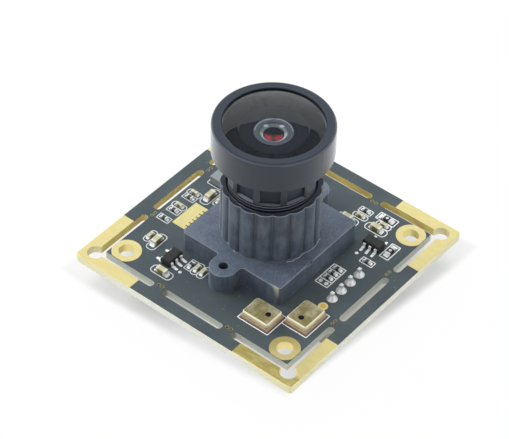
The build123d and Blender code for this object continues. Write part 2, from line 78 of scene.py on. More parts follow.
towards_camera = Vector((math.sin(view_azimuth) * math.cos(view_elevation),
                         -math.cos(view_azimuth) * math.cos(view_elevation),
                         math.sin(view_elevation)))
camera_data = bpy.data.cameras.new("photo_camera")
camera_data.lens = focal_length
camera_data.sensor_width = film_width
camera_data.clip_start = 10 * mm
camera_data.clip_end = 10.0
camera = bpy.data.objects.new("photo_camera", camera_data)
camera.location = view_point + view_distance * towards_camera
camera.rotation_mode = "QUATERNION"
camera.rotation_quaternion = (-towards_camera).to_track_quat("-Z", "Y") @ Quaternion((0, 0, 1), view_roll)
bpy.context.scene.collection.objects.link(camera)
bpy.context.scene.camera = camera
bpy.context.scene.view_settings.view_transform = "Standard"
print("camera at", [round(x, 4) for x in camera.location])

# %% [markdown]
# ## Writing shaders as sums
#
# A finish is mostly arithmetic: a mask here, a little noise there. Value wraps the output of a shader node
# and overloads the operators, so that 1 - mask adds its own Math node. Its spread turns a range into 0 to
# 1, and its mix blends two colours by that. Finish holds one material, and its method node makes every kind
# of node: settings first, then the values or links of its sockets. coats lays colours over each other, one
# by one.


# %% Shader helpers
def operator(operation, swapped=False):
    """A method that joins two values with a Math node."""
    def join(self, other):
        return self.math(operation, other, self) if swapped else self.math(operation, self, other)

    return join


class Value:
    """The output of a shader node, which can be added, multiplied and compared like a number."""

    def __init__(self, finish, socket):
        self.finish = finish
        self.socket = socket

    def math(self, operation, first, second=0.0):
        return self.finish.node("Math", {"operation": operation}, {0: first, 1: second})

    def __neg__(self):
        return self.math("SUBTRACT", 0.0, self)

    def __abs__(self):
        return self.math("ABSOLUTE", self)

    __add__ = __radd__ = operator("ADD")
    __sub__ = operator("SUBTRACT")
    __rsub__ = operator("SUBTRACT", swapped=True)
    __mul__ = __rmul__ = operator("MULTIPLY")
    __truediv__ = operator("DIVIDE")
    __gt__ = operator("GREATER_THAN")
    __lt__ = operator("LESS_THAN")
    at_least = operator("MAXIMUM")
    at_most = operator("MINIMUM")

    def spread(self, low, high):
        """This value from low to high, as 0 to 1."""
        return self.finish.node("MapRange", {"interpolation_type": "SMOOTHSTEP"},
                                {"Value": self, "From Min": low, "From Max": high})

    def band(self, low, high, soft):
        """1 between low and high and 0 elsewhere, with soft edges."""
        return self.spread(low - soft, low + soft) * (1.0 - self.spread(high - soft, high + soft))

    def mix(self, first, second):
        """Two colours: the first where this value is 0, the second where it is 1."""
        return self.finish.node("Mix", {"data_type": "RGBA"},
                                {"Factor": self, 6: first, 7: second}, 2)

    def vector(self, operation, other=(0.0, 0.0, 0.0), output=0):
        return self.finish.node("VectorMath", {"operation": operation}, {0: self, 1: other}, output)

    def dot(self, other):
        return self.vector("DOT_PRODUCT", other, "Value")

    def stretch(self, x, y, z):
        """Coordinates scaled along each axis, for patterns that run one way."""
        return self.vector("MULTIPLY", (x, y, z))

    def part(self, axis):
        return self.finish.node("SeparateXYZ", None, {0: self}, axis)

    def noise(self, size, detail=2.0, roughness=0.5):
        """Smooth noise from 0 to 1 at these coordinates, whose patches are about size across."""
        return self.finish.node("TexNoise", None, {"Vector": self, "Scale": 1.0 / size,
                                                   "Detail": detail, "Roughness": roughness})

    def bump(self, depth, strength=1.0, normal=None):
        """A normal from this height of 0 to 1, which stands for depth metres."""
        inputs = {"Height": self, "Distance": depth, "Strength": strength}
        if normal is not None:
            inputs["Normal"] = normal
        return self.finish.node("Bump", None, inputs)


class Finish:
    """One material, or the world, and the nodes that make it."""

    def __init__(self, name, world=None):
        self.material = world or bpy.data.materials.new(name)
        self.material.use_nodes = True
        self.tree = self.material.node_tree
        self.tree.nodes.clear()
        self.end = self.tree.nodes.new("ShaderNodeOutputWorld" if world else "ShaderNodeOutputMaterial")

    def node(self, kind, settings=None, inputs=None, output=0):
        made = self.tree.nodes.new("ShaderNode" + kind)
        for key, value in (settings or {}).items():
            setattr(made, key, value)
        for key, value in (inputs or {}).items():
            if isinstance(value, Value):
                self.tree.links.new(value.socket, made.inputs[key])
            else:
                made.inputs[key].default_value = value
        return Value(self, made.outputs[output])

    def position(self):
        """Object coordinates, in metres, and their three parts."""
        place = self.node("TexCoord", output="Object")
        return place, [place.part(axis) for axis in range(3)]

    def normal(self):
        return self.node("NewGeometry", output="Normal")

    def upward(self):
        """The upward part of the face's own normal: 1 on tops, 0 on walls, -1 underneath."""
        return self.normal().part(2)

    def rounded(self, radius):
        """The normal of edges that are rounded by a small radius."""
        return self.node("Bevel", {"samples": 6}, {"Radius": radius})

    def edges(self, radius):
        """1 on edges and 0 on flat faces: where the rounded normal leaves the true one."""
        return (1.0 - self.normal().dot(self.rounded(radius))).spread(0.01, 0.12)

    def close(self, shader):
        """Links the last shader to the output."""
        self.tree.links.new(shader.socket, self.end.inputs["Surface"])
        return self.material

    def surface(self, **inputs):
        """The Principled shader, with sockets named by keyword, as in Base_Color."""
        named = {key.replace("_", " "): value for key, value in inputs.items()}
        return self.close(self.node("BsdfPrincipled", None, named))


def distance(x, y):
    """Distance from the lens's axis, or from a line beside it when x and y are shifted."""
    square = x * x + y * y
    return square.math("SQRT", square)


def coats(tone, *layers):
    """A colour with others over it, each given as how much of it there is and its colour."""
    for amount, colour in layers:
        tone = amount.mix(tone, colour)
    return tone


def screen(red, green, blue):
    """A colour given as it shows on a screen, 0 to 255, as the linear colour that shaders use."""
    parts = [channel / 255 for channel in (red, green, blue)]
    linear = [c / 12.92 if c <= 0.04045 else ((c + 0.055) / 1.055) ** 2.4 for c in parts]
    return (*linear, 1.0)


print("mid grey 128 is", round(screen(128, 128, 128)[0], 3), "in linear light")

# %% [markdown]
# ## The studio
#
# The photograph was taken in a white tent that is open at the top and at the camera's side. Black plastic
# and glass show this more than anything else does: the far half of the front glass mirrors the tent's far
# wall, its near half mirrors the dark opening, and a thin dark seam runs between the two. The world is that
# tent: white below three sloping planes, one for each wall, and a dim blue grey above them. Diffuse light
# comes from the world at one even strength and from three large soft lamps, at a level where a colour renders
# about as written.

# %% Studio tent
wall_azimuth = math.radians(128.9)
wall_slope = 1.10
side_slope = 1.33
wall_low = (0.95, 0.975, 1.0, 1.0)
wall_high = (0.86, 0.90, 0.96, 1.0)
opening_light = (0.24, 0.27, 0.34, 1.0)
seam_dark = (0.02, 0.02, 0.025, 1.0)
seam_middle = 0.01
plain_white = (1.0, 1.0, 1.0, 1.0)
fill_light = 0.50


def seen_directly(finish):
    """1 for rays from the camera, and for rays that glass or gloss has turned."""
    camera, glossy, clear = [finish.node("LightPath", output=f"Is {kind} Ray")
                             for kind in ("Camera", "Glossy", "Transmission")]
    return (camera + glossy + clear).at_most(1.0)


world = bpy.data.worlds.new("studio")
bpy.context.scene.world = world
studio = Finish("studio", world)
direction = studio.node("TexCoord", output="Generated")
above_far_wall = direction.dot((-wall_slope * math.cos(wall_azimuth),
                                -wall_slope * math.sin(wall_azimuth), 1.0))
sideways = direction.dot((math.cos(view_azimuth), math.sin(view_azimuth), 0.0))
above_walls = above_far_wall.at_most(direction.part(2) - side_slope * abs(sideways))
wall = above_walls.spread(-0.9, 0.0).mix(wall_low, wall_high)
tent = above_walls.spread(-0.01, 0.03).mix(wall, opening_light)
tent = abs(above_walls - seam_middle).spread(0.004, 0.022).mix(seam_dark, tent)
tent = studio.node("LightPath", output="Is Camera Ray").mix(tent, plain_white)
tent = seen_directly(studio).mix((fill_light, fill_light, fill_light, 1.0), tent)
studio.close(studio.node("Background", None, {"Color": tent, "Strength": 1.0}))


def soft_lamp(name, azimuth, elevation, reach, size, power):
    """A square lamp that looks at the module from that direction."""
    lamp = bpy.data.lights.new(name, "AREA")
    lamp.shape = "SQUARE"
    lamp.size = size
    lamp.energy = power
    lamp_object = bpy.data.objects.new(name, lamp)
    a, e = math.radians(azimuth), math.radians(elevation)
    aim = Vector((math.cos(a) * math.cos(e), math.sin(a) * math.cos(e), math.sin(e)))
    lamp_object.location = Vector((0, 0, 10 * mm)) + reach * aim
    lamp_object.rotation_mode = "QUATERNION"
    lamp_object.rotation_quaternion = (-aim).to_track_quat("-Z", "Y")
    lamp_object.visible_glossy = False
    bpy.context.scene.collection.objects.link(lamp_object)


soft_lamp("overhead_lamp", azimuth=150, elevation=75, reach=0.5, size=0.30, power=1.35)
soft_lamp("left_lamp", azimuth=200, elevation=28, reach=0.6, size=0.25, power=1.5)
soft_lamp("right_lamp", azimuth=50, elevation=20, reach=0.6, size=0.25, power=0.5)
print("tent: far wall up to", round(math.degrees(math.atan(wall_slope))), "degrees")

# %% [markdown]
# ## The floor
#
# The module stands on its header's housing, on a white table. The table's colour is white and it keeps the
# module's soft shadow. To the camera it also glows, so that the background stays white: a little, in a grey
# painted shadow under and around the module, more in front of it, and most further away. The painted
# shadow is a square that is shifted away from the camera and reaches less far at the front, far and left
# corners.

# %% Floor
floor_half = 1.5
near_glow = 0.36
front_glow = 0.72
far_glow = 0.97
painted_shadow_grey = (0.78, 0.78, 0.78, 1.0)
shade_shift = 3.0 * mm
shade_start = 20.2 * mm
shade_end = 22.2 * mm
far_start = -8.0 * mm
left_start = 20.0 * mm
front_depth = 17.0 * mm

floor_mesh = bpy.data.meshes.new("floor")
floor_height = cad_box[0].z
floor_mesh.from_pydata([(x * floor_half, y * floor_half, floor_height)
                        for x, y in ((-1, -1), (1, -1), (1, 1), (-1, 1))], [], [(0, 1, 2, 3)])
floor = bpy.data.objects.new("floor", floor_mesh)
bpy.context.scene.collection.objects.link(floor)

table = Finish("white_table")
_, (table_x, table_y, _) = table.position()
table_reach = abs(table_x + shade_shift).at_least(abs(table_y - shade_shift))
towards_front = table_x - table_y
towards_left = -(table_x + table_y)
front_corner = towards_front.at_least(0.0)
far_corner = (far_start - towards_front).at_least(0.0)
left_corner = (towards_left - left_start).at_least(0.0)
widened = table_reach + front_corner * 0.10 + far_corner * 0.40 + left_corner * 0.06
away = widened.spread(shade_start, shade_end)
left_side = towards_left.spread(-12.0 * mm, 4.0 * mm)
in_front = front_corner.spread(0.0, front_depth) * (0.35 + left_side * 0.60)
bare = away + (1.0 - away) * in_front
near_part = near_glow + in_front * (front_glow - near_glow)
glow_share = seen_directly(table) * (near_part + away * (far_glow - near_part))
matt = table.node("BsdfDiffuse", None, {"Color": (0.92, 0.92, 0.92, 1)})
# Painted shadow: the glow is grey where the table is not bare.
glow = table.node("Emission", None, {"Color": bare.mix(painted_shadow_grey, plain_white), "Strength": 1.0})
both = table.node("MixShader", None, {0: glow_share, 1: matt, 2: glow})
floor_mesh.materials.append(table.close(both))
print("floor at", round(floor_height / mm, 2), "mm")

# %% [markdown]
# ## The circuit board
#
# The board is glass-fibre laminate under a matt, slate-coloured solder mask. One mesh carries both: the
# mask is on the faces that look up or down, and the cut walls show the laminate. The outer frame's inner
# walls are olive to brown on its far side, the front slots' ends are darkened with painted shade, and the
# other walls are pale.
# Under the mask the copper tracks show as a very faint relief, and a few dust specks lie on it.

# %% Solder mask and laminate
mask_colour = screen(76, 87, 89)
mask_dark = screen(65, 76, 80)
wall_pale = screen(240, 242, 228)
wall_grey = screen(200, 204, 196)
wall_olive = screen(228, 206, 102)
wall_brown = screen(206, 172, 104)
wall_glow = screen(238, 234, 176)
wall_cream = screen(244, 236, 190)
strip_gold = screen(240, 224, 156)
slot_end_shade = screen(92, 86, 66)
slot_line = -14.5 * mm
slot_half = 12.0 * mm
rail_inside = 17.1 * mm
outer_edge = 18.9 * mm
frame_hole = 17.0 * mm
plated_from = 9.0 * mm


def make_board_finish():
    finish = Finish("solder_mask")
    place, (x, y, _) = finish.position()
    is_mask = abs(finish.upward()) > 0.5
    side_x, side_y = abs(x), abs(y)
    reach = side_x.at_least(side_y)
    short_side = side_x.at_most(side_y)

    cloud = place.noise(6 * mm, 3.0)
    fine = place.noise(0.12 * mm, 4.0, 0.7)
    speck = place.noise(0.35 * mm, 0.0).spread(0.80, 0.86)
    plated_strip = (reach > outer_edge - 0.03 * mm) * (short_side > plated_from)
    corner_tip = side_x + side_y > 2 * outer_edge - 0.6 * mm
    mask = coats(mask_dark, (cloud.spread(0.35, 0.7), mask_colour), (speck * 0.35, screen(150, 152, 150)),
                 (fine.spread(0.3, 0.8) * 0.25, screen(96, 104, 108)),
                 (plated_strip.at_least(corner_tip), strip_gold))

    layers = place.stretch(1, 1, 14).noise(0.8 * mm, 3.0)
    on_rail = reach.spread(rail_inside - 0.8 * mm, rail_inside - 0.2 * mm) * (y > x)
    past_rail = reach.spread(rail_inside + 0.05 * mm, rail_inside + 0.2 * mm)
    on_outside = reach.spread(outer_edge - 0.1 * mm, outer_edge)
    near_plating = on_outside * short_side.spread(plated_from, plated_from + 8 * mm)
    # Olive to brown on the outer frame's inner walls, on its far side.
    far_rail_brown = place.stretch(1, 1, 3).noise(2.4 * mm, 3.0).spread(0.4, 0.7).mix(wall_olive, wall_brown)
    in_hole = 1.0 - distance(side_x - frame_hole, side_y - frame_hole).spread(1.35 * mm, 1.5 * mm)
    # Painted shade: the front slots' ends that face +x are darkened.
    slot_end = finish.normal().part(0).spread(0.1, 0.7) * (y < slot_line) * (side_x < slot_half)
    wall = coats(wall_grey, (on_rail, far_rail_brown), (slot_end * 0.75, slot_end_shade), (past_rail, wall_pale),
                 (in_hole, wall_cream), (near_plating * 0.8, wall_glow),
                 (layers.spread(0.35, 0.75) * 0.3, screen(238, 236, 214)))

    tracks = finish.node("TexVoronoi", {"feature": "DISTANCE_TO_EDGE", "distance": "CHEBYCHEV"},
                         {"Vector": place.stretch(1, 1, 0), "Scale": 1 / (2.6 * mm), "Randomness": 0.7})
    relief = tracks.spread(0.03, 0.06) * is_mask
    return finish.surface(Base_Color=is_mask.mix(wall, mask),
                          Roughness=0.42 + fine * 0.14 + (1.0 - is_mask) * 0.2,
                          Normal=relief.bump(0.008 * mm, 0.5, fine.bump(0.004 * mm, 0.5)))


board_finish = make_board_finish()


def dress(finish, *names):
    """Gives CAD nodes a finish through their own material slots."""
    for name in names:
        for material_slot in nodes[name].material_slots:
            material_slot.material = finish


dress(board_finish, "circuit_board")
print("board:", len(nodes["circuit_board"].data.polygons), "faces")

# %% [markdown]
# ## Gold, tin, ceramic and plastic
#
# The rest of the board is a handful of small finishes. Gold over nickel is a soft mirror with a fine grain.
# Reflowed tin is brighter and uneven. Ceramic chips are olive brown, resistors and packages are black, and
# the chips' ends are matt tin. The two tables give each finish its numbers and the nodes that wear it.


# %% Small finishes
def metal(name, colour, roughness, grain, depth, cloudiness, purity=1.0):
    """A soft metal: grain and its depth in mm, cloudy patches, rounded edges; low purity is a matt film."""
    finish = Finish(name)
    place, _ = finish.position()
    fine = place.noise(grain * mm, 4.0, 0.6)
    dull = tuple(channel * 0.72 for channel in screen(*colour)[:3]) + (1.0,)
    tone = (place.noise(1.6 * mm, 3.0).spread(0.3, 0.8) * cloudiness).mix(screen(*colour), dull)
    return finish.surface(Base_Color=tone, Metallic=purity, Roughness=roughness + fine * 0.12,
                          Normal=fine.bump(depth * mm, 0.6, finish.rounded(0.03 * mm)))


def matt_body(name, colour, light, roughness, grain, depth, edge_highlight=0.25):
    """A moulded or fired body: two tones in fine grain, in mm, with a painted highlight on its edges."""
    finish = Finish(name)
    place, _ = finish.position()
    fine = place.noise(grain * mm, 4.0, 0.65)
    tone = coats(screen(*colour), (fine.spread(0.35, 0.8), screen(*light)),
                 (finish.edges(0.04 * mm) * edge_highlight, screen(190, 190, 185)))
    return finish.surface(Base_Color=tone, Roughness=roughness,
                          Normal=fine.bump(depth * mm, 0.6, finish.rounded(0.03 * mm)))


metals = [
    ("gold_over_nickel", (255, 240, 168), 0.32, 0.06, 0.003, 0.35, 0.56, ["contact_pad"]),
    ("bright_tin", (252, 253, 252), 0.28, 0.12, 0.010, 0.2, 0.15, ["regulator_leads", "memory_leads"]),
    ("chip_ends", (224, 228, 226), 0.40, 0.08, 0.008, 0.25, 0.12, ["resistor_ends", "ferrite_ends"]),
    ("capacitor_ends", (230, 227, 204), 0.40, 0.08, 0.008, 0.3, 0.12,
     ["small_capacitor_ends", "large_capacitor_ends", "under_capacitor_ends"]),
    ("screw_steel", (84, 86, 90), 0.32, 0.1, 0.003, 0.4, 1.0, ["holder_screws"]),
    ("crystal_lid", (206, 208, 210), 0.28, 0.08, 0.002, 0.2, 1.0, ["crystal"]),
]
matt_bodies = [
    ("resistor_black", (58, 62, 64), (86, 90, 92), 0.35, 0.06, 0.004, 0.25, ["resistor_bodies"]),
    ("bead_black", (28, 30, 32), (56, 58, 58), 0.40, 0.06, 0.004, 0.25, ["ferrite_bodies"]),
    ("inductor_grey", (132, 140, 142), (164, 170, 172), 0.50, 0.08, 0.008, 0.25, ["power_inductor"]),
    ("mould_compound", (40, 38, 38), (60, 57, 56), 0.50, 0.05, 0.006, 0.12,
     ["regulator_bodies", "memory_body", "image_processor"]),
    ("microphone_laminate", (158, 118, 110), (200, 164, 156), 0.5, 0.08, 0.004, 0.25, ["microphone_bases"]),
    ("header_nylon", (216, 212, 200), (234, 231, 222), 0.45, 0.2, 0.006, 0.1, ["header_housing"]),
]
for make, rows in ((metal, metals), (matt_body, matt_bodies)):
    for *look, names in rows:
        dress(make(*look), *names)


near_hole = 14.0 * mm
hole_ring = 2.6 * mm


def make_pad_gold():
    """Gold with painted dark reflections on the front pads, and on the near mounting hole's ring away from
    the front.
    """
    finish = Finish("pad_gold")
    place, (x, y, _) = finish.position()
    fine = place.noise(0.06 * mm, 4.0, 0.6)
    cloud = place.stretch(0.5, 1, 1).noise(0.7 * mm, 3.0)
    # Painted reflection: the front pads and part of the near ring mirror darker.
    front = (x - y).spread(24.0 * mm, 28.0 * mm) * (1.0 - y.spread(-17.4 * mm, -16.6 * mm))
    ring_side = (1.0 - (x - y).spread(26.0 * mm, 30.0 * mm)) * (finish.upward() > 0.9)
    ring_side = ring_side * (distance(x - near_hole, y + near_hole) < hole_ring)
    tone = coats(screen(255, 240, 168), (cloud.spread(0.3, 0.7) * 0.25, screen(240, 214, 130)),
                 (front * (0.40 + cloud.spread(0.35, 0.6) * 0.35), screen(200, 180, 92)),
                 (ring_side * 0.5, screen(200, 182, 98)))
    return finish.surface(Base_Color=tone, Metallic=0.56, Roughness=0.30 + fine * 0.1,
                          Normal=fine.bump(0.003 * mm, 0.5))


def make_ceramic_finish():
    """Fired olive brown ceramic: painted pale on top and darker on the cut sides, as light and shade."""
    finish = Finish("capacitor_ceramic")
    place, _ = finish.position()
    fine = place.noise(0.10 * mm, 4.0, 0.65)
    side = fine.spread(0.3, 0.8).mix(screen(126, 114, 56), screen(150, 140, 84))
    top = fine.spread(0.3, 0.8).mix(screen(186, 182, 138), screen(214, 212, 180))
    # Painted light and shade: pale top, darker sides, lighter edges.
    tone = coats(side, (finish.upward().spread(0.4, 0.7), top),
                 (finish.edges(0.04 * mm) * 0.25, screen(220, 220, 200)))
    return finish.surface(Base_Color=tone, Roughness=0.38,
                          Normal=fine.bump(0.006 * mm, 0.6, finish.rounded(0.03 * mm)))


dress(make_pad_gold(), "corner_pads", "hole_plating")
dress(make_ceramic_finish(), "small_capacitor_bodies", "large_capacitor_bodies", "under_capacitor_bodies")
print("small finishes:", len(metals) + len(matt_bodies) + 2)

# %% [markdown]
# ## Microphone cans and test pads
#
# The two cans are drawn from thin plated sheet. Their tops are blotchy, an olive gold with paler clouds,
# while the drawn edge and the wall are painted almost white, as painted highlights. The wall darkens
# towards its foot, and its crease is darkened with painted shade. The finish finds them by the upward part
# of the face's normal: 1 on the top, between on the drawn edge, and 0 on the wall. The round test pad is a
# deep gold disc in a pale ring, and the two small pads next to the chips are tinned, so one finish colours
# all three by their place.


# %% Cans and pads
can_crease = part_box("microphone_cans")[0].z + 0.24 * mm
disc_inset = 0.7 * mm


def make_can_finish():
    finish = Finish("pale_gold_can")
    place, (_, _, z) = finish.position()
    upward = finish.upward()
    cloud = place.noise(1.5 * mm, 5.0, 0.7)
    fine = place.noise(0.15 * mm, 4.0, 0.6)
    on_edge = upward.band(0.35, 0.93, 0.05)
    on_wall = 1.0 - upward.spread(0.15, 0.3)
    crease = z.band(can_crease - 0.05 * mm, can_crease + 0.05 * mm, 0.02 * mm)
    low_on_wall = 1.0 - z.spread(can_crease - 0.30 * mm, can_crease - 0.05 * mm)
    # Painted highlights on the drawn edge and the wall, painted shade at the wall's crease.
    tone = coats(screen(158, 146, 92), (cloud.spread(0.34, 0.70), screen(212, 206, 170)),
                 (on_wall * 0.9, screen(253, 238, 196)), (on_wall * crease * 0.8, screen(140, 104, 78)),
                 (on_edge, screen(255, 247, 216)), (on_wall * low_on_wall * 0.5, screen(196, 170, 120)))
    grain = fine.bump(0.004 * mm, 0.5, finish.rounded(0.03 * mm))
    return finish.surface(Base_Color=tone, Metallic=0.45 - (on_edge + on_wall) * 0.35,
                          Roughness=0.30 + fine * 0.15, Normal=cloud.bump(0.02 * mm, 0.4, grain))


def make_pad_finish():
    finish = Finish("test_pad_plating")
    place, (x, y, _) = finish.position()
    fine = place.noise(0.08 * mm, 4.0, 0.6)
    low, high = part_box("test_pads")
    from_disc = distance(x - (high.x - disc_inset), y - (low.y + disc_inset))
    tone = coats(screen(238, 196, 92), (from_disc.spread(0.40 * mm, 0.47 * mm), screen(252, 236, 160)),
                 (from_disc.spread(1.2 * mm, 1.3 * mm), plain_white), (fine * 0.2, screen(200, 188, 140)))
    return finish.surface(Base_Color=tone, Metallic=0.35, Roughness=0.32 + fine * 0.12,
                          Normal=fine.bump(0.004 * mm, 0.5))


dress(make_can_finish(), "microphone_cans")
dress(make_pad_finish(), "test_pads")

# %% [markdown]
# ## The lens holder
#
# The holder is one moulding of glass-filled nylon, slate blue-grey and slightly glossy. Its glass fibres
# lie as the melt flowed, so the tower shows faint upright streaks, and a pale haze of fine flecks covers
# it. Faces that look up are painted lighter, flecks and all, as painted light from above. The grooves
# between the tower's lobes and the tower's top, under the lens head, are darkened with painted shade.
# Every edge, and a thin band just under the top edges of the tower and the base, carries a painted
# highlight. Handling has left a cream patch on the front corner.

# %% Holder plastic
holder_dark = screen(68, 78, 92)
holder_light = screen(90, 102, 119)
groove_shade = screen(44, 49, 60)
worn_cream = screen(202, 204, 180)
worn_inset = 0.35 * mm
worn_length = 1.35 * mm
worn_depth = 2.2 * mm
tower_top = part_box("lens_holder")[1].z
base_top = board_top + 3.2 * mm
base_from = 7.6 * mm
holder_side = 8.55 * mm
groove_radius = 6.70 * mm
lobe_radius = 6.98 * mm


def make_holder_finish():
    finish = Finish("glass_filled_nylon")
    place, (x, y, z) = finish.position()
    flow = place.stretch(1, 1, 0.22).noise(0.7 * mm, 4.0, 0.6)
    fleck = place.noise(0.20 * mm, 3.0, 0.75)
    cloud = place.noise(2.6 * mm, 3.0)
    faces_up = finish.upward().spread(0.85, 0.95)
    upright = 1.0 - faces_up
    from_axis = distance(x, y)
    groove = 1.0 - from_axis.spread(groove_radius, lobe_radius)
    groove = groove * z.spread(base_top + 0.05 * mm, base_top + 0.25 * mm) * upright
    rim_highlight = z.band(tower_top - 0.13 * mm, tower_top, 0.03 * mm)
    base_edge_highlight = z.band(base_top - 0.13 * mm, base_top, 0.03 * mm) * (from_axis > base_from)
    aside = abs(holder_side - worn_inset - x) / worn_length
    rubbed = 1.0 - (aside + (base_top - z) / worn_depth + fleck * 0.5).spread(0.35, 1.35)
    rubbed = rubbed * (y < 0.17 * mm - holder_side) * upright
    rubbed = rubbed * (1.0 - x.spread(holder_side - 0.25 * mm, holder_side - 0.12 * mm))
    # Painted light and shade: lighter upward faces, darker grooves and tower top, pale edges and bands.
    tone = coats(holder_dark, (flow.spread(0.3, 0.72), holder_light),
                 (cloud.spread(0.45, 0.7) * 0.4, screen(112, 122, 132)),
                 ((1.0 - cloud.spread(0.3, 0.5)) * 0.45, screen(54, 62, 74)),
                 (faces_up * 0.35, screen(118, 131, 148)),
                 (fleck.spread(0.52, 0.74) * (0.30 + faces_up * 0.25), screen(156, 164, 178)),
                 ((1.0 - fleck.spread(0.30, 0.46)) * 0.35, screen(66, 74, 88)), (groove * 0.8, groove_shade),
                 (faces_up * (z > tower_top - 0.1 * mm) * 0.75, screen(34, 37, 44)),
                 (finish.edges(0.12 * mm) * 0.55, screen(186, 192, 206)),
                 ((rim_highlight + base_edge_highlight) * upright * 0.6, screen(176, 184, 202)),
                 (rubbed * 0.75, worn_cream))
    soft = cloud.bump(0.05 * mm, 0.3, finish.rounded(0.08 * mm))
    return finish.surface(Base_Color=tone, Roughness=0.38 + fleck * 0.15,
                          Normal=fleck.bump(0.012 * mm, 0.5, soft), Sheen_Weight=0.6,
                          Sheen_Roughness=0.30, Sheen_Tint=(0.80, 0.90, 1.0, 1.0))


holder_finish = make_holder_finish()
dress(holder_finish, "lens_holder")
print("holder: tower top at", round(tower_top / mm, 2), "mm")

# %% [markdown]
# ## The lens barrel and its glass
#
# The barrel is turned aluminium with a satin black anodised skin: dark where it faces the viewer and pale
# where it turns away, because it mirrors the white room at a grazing angle. The edge of its rim and the
# ledges at the foot of its grip pockets carry painted highlights, and the pockets gleam less. The thread is
# darkened with painted shade, with a painted highlight along its crests. The front glass is a clear shell:
# rays pass it unbent and only its gloss is added, by the Fresnel law, so the rings below show where they
# are. A fine white grain in that gloss keeps the mirrored tent free of the regular pattern that rays shared
# evenly between two shaders would leave.

# %% Barrel and glass
thread_pitch = 0.5 * mm
thread_top = board_top + 12.75 * mm
ledge_height = board_top + 12.8 * mm
head_bottom = board_top + 16.4 * mm
bore_floor = board_top + 18 * mm
rim_height = board_top + 22.4 * mm
pocket_radius = 5.85 * mm
bore_radius = 7.0 * mm
head_flat = 7.9 * mm


def make_barrel_finish():
    finish = Finish("black_anodised")
    place, (x, y, z) = finish.position()
    upward = finish.upward()
    from_axis = distance(x, y)
    fine = place.noise(0.09 * mm, 4.0, 0.6)
    turned = place.stretch(0.15, 0.15, 1).noise(0.05 * mm, 2.0)
    in_pocket = (from_axis < pocket_radius) * (z > ledge_height + 0.02 * mm) * (z < head_bottom)
    on_edge = upward.band(0.20, 0.88, 0.08) * (z > rim_height - 0.4 * mm) * (from_axis > head_flat)
    turns = z / thread_pitch - y.math("ARCTAN2", y, x) / (2 * math.pi)
    wave = turns.math("PINGPONG", turns, 0.5) * 2.0
    threaded = z < thread_top
    ledge_highlight = upward.spread(0.4, 0.6) * (abs(z - ledge_height) < 0.05 * mm)
    inside = (from_axis < bore_radius) * (z < rim_height - 0.1 * mm) * (z > bore_floor)
    # Painted light: highlights on the rim's edge and the ledges, painted shade on the thread with highlit
    # crests.
    tone = coats(screen(39, 46, 56), (fine.spread(0.35, 0.8), screen(52, 60, 72)),
                 (on_edge * 0.38, screen(112, 118, 128)), (threaded * 0.7, screen(14, 16, 20)),
                 (wave.spread(0.70, 0.95) * threaded * 0.7, screen(176, 180, 192)),
                 (ledge_highlight * 0.8, screen(182, 186, 200)), (inside, screen(4, 4, 6)))
    normal = (fine + turned * 0.5).bump(0.004 * mm, 0.5, finish.rounded(0.05 * mm))
    normal = (wave * threaded).bump(0.12 * mm, 0.8, normal)
    return finish.surface(Base_Color=tone, Roughness=0.34 + fine * 0.12 + inside * 0.3, Normal=normal,
                          Specular_IOR_Level=0.12, Sheen_Weight=0.75, Sheen_Roughness=0.30,
                          Sheen_Tint=(0.78, 0.88, 1.0, 1.0), Coat_Roughness=0.15, Coat_IOR=1.36,
                          Coat_Weight=(1.0 - inside) * (1.0 - in_pocket * 0.5))


def make_inner_black():
    finish = Finish("inner_black")
    place, (x, y, _) = finish.position()
    fine = place.noise(0.08 * mm, 3.0)
    radius = distance(x, y)
    inner, outer = [radius.band(low * mm, high * mm, 0.03 * mm) for low, high in ((3.30, 3.36), (3.85, 3.90))]
    tone = coats(screen(8, 9, 13), (fine, screen(14, 15, 22)), ((inner + outer) * 0.4, screen(64, 64, 78)))
    return finish.surface(Base_Color=tone, Roughness=0.5 + fine * 0.2, Normal=fine.bump(0.004 * mm, 0.4),
                          Specular_IOR_Level=0.12)


def make_clear_glass(name, tint, index):
    """Clear glass with a faint dusty film: see-through, with the gloss of its front face."""
    finish = Finish(name)
    place, _ = finish.position()
    dust = place.noise(0.5 * mm, 4.0, 0.7).spread(0.62, 0.9)
    clear = finish.node("BsdfTransparent", None, {"Color": tint})
    gloss = finish.node("BsdfAnisotropic", None, {"Color": plain_white, "Roughness": 0.02})
    film = finish.node("BsdfDiffuse", None, {"Color": (0.6, 0.62, 0.66, 1)})
    fresnel = finish.node("Fresnel", None, {"IOR": index})
    from_front = 1.0 - finish.node("NewGeometry", output="Backfacing")
    grain = finish.node("TexWhiteNoise", None, {"Vector": place}) * 2.0
    coated = finish.node("MixShader", None, {0: fresnel * from_front * grain, 1: clear, 2: gloss})
    dusty = finish.node("MixShader", None, {0: 0.010 + dust * 0.02, 1: coated, 2: film})
    return finish.close(dusty)


iris_turn = math.radians(38)
iris_radius = 1.42 * mm
ring_radius = 1.80 * mm
cup_radius = 2.6 * mm
glint_aside = 1.05 * mm
glint_back = 1.75 * mm


